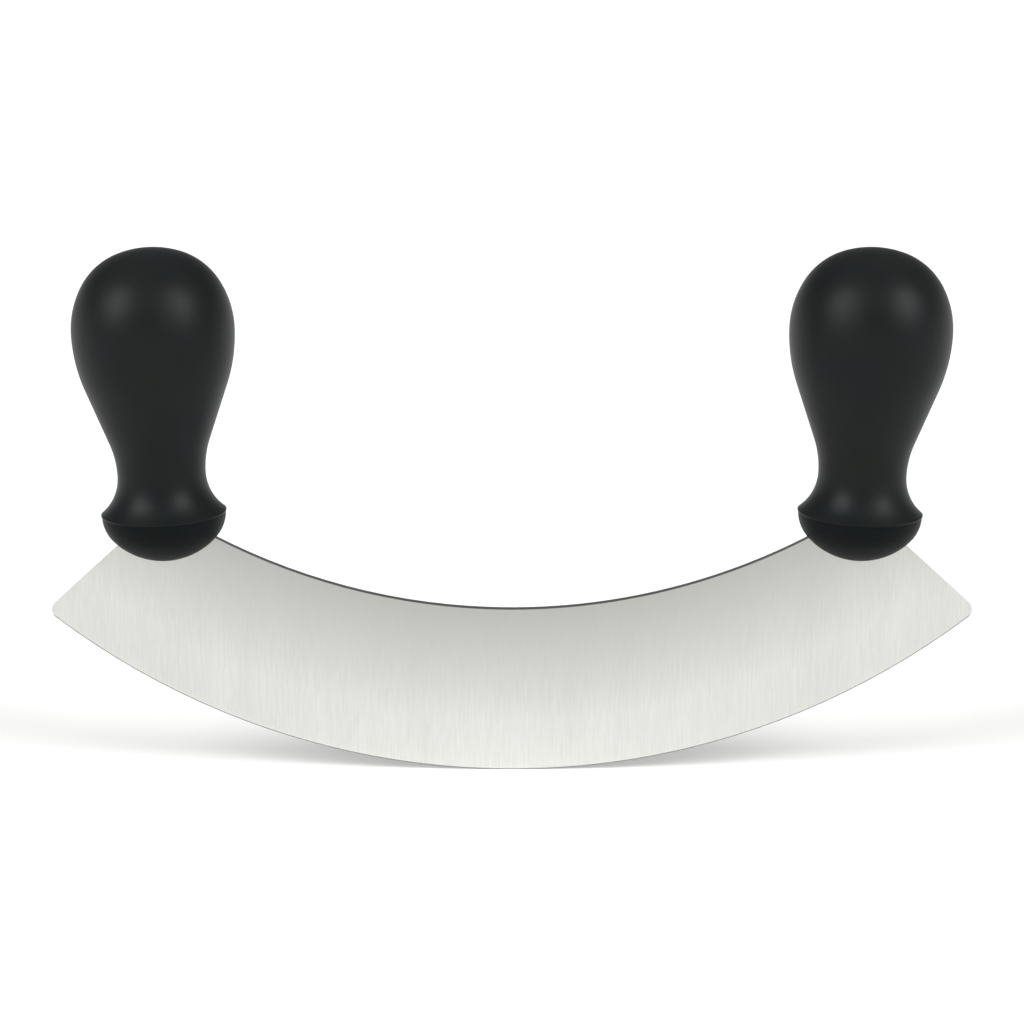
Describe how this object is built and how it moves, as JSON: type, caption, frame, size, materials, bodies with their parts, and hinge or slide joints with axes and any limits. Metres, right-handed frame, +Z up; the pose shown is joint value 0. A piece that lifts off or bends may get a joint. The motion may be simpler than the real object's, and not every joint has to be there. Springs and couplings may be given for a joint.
{
  "type": "mezzaluna",
  "caption": "Mezzaluna: crescent satin steel rocking blade with an upright black moulded knob handle at each end.",
  "frame": {"origin": "the lowest point of the cutting edge, at its middle, with the tool held upright as in use", "axes": "+X along the blade from the left handle to the right handle, +Y across the blade's thickness to the far side, +Z up to the knobs"},
  "size_m": [0.23, 0.04, 0.1328],
  "materials": {
    "blade_steel": "ground and satin finished across the blade",
    "grip_plastic": "fine spark-eroded mould texture, satin",
    "cap_plastic": "fine spark-eroded mould texture, satin",
    "core_plastic": "plain moulded, hidden",
    "pin_steel": "drawn bar, hidden"
  },
  "bodies": {
    "root": {"blade": "blade_steel", "left_base_cap": "cap_plastic", "right_base_cap": "cap_plastic", "left_core": "core_plastic", "right_core": "core_plastic", "left_tang_pins": "pin_steel", "right_tang_pins": "pin_steel", "left_grip": "grip_plastic", "right_grip": "grip_plastic"}
  },
  "joints": []
}
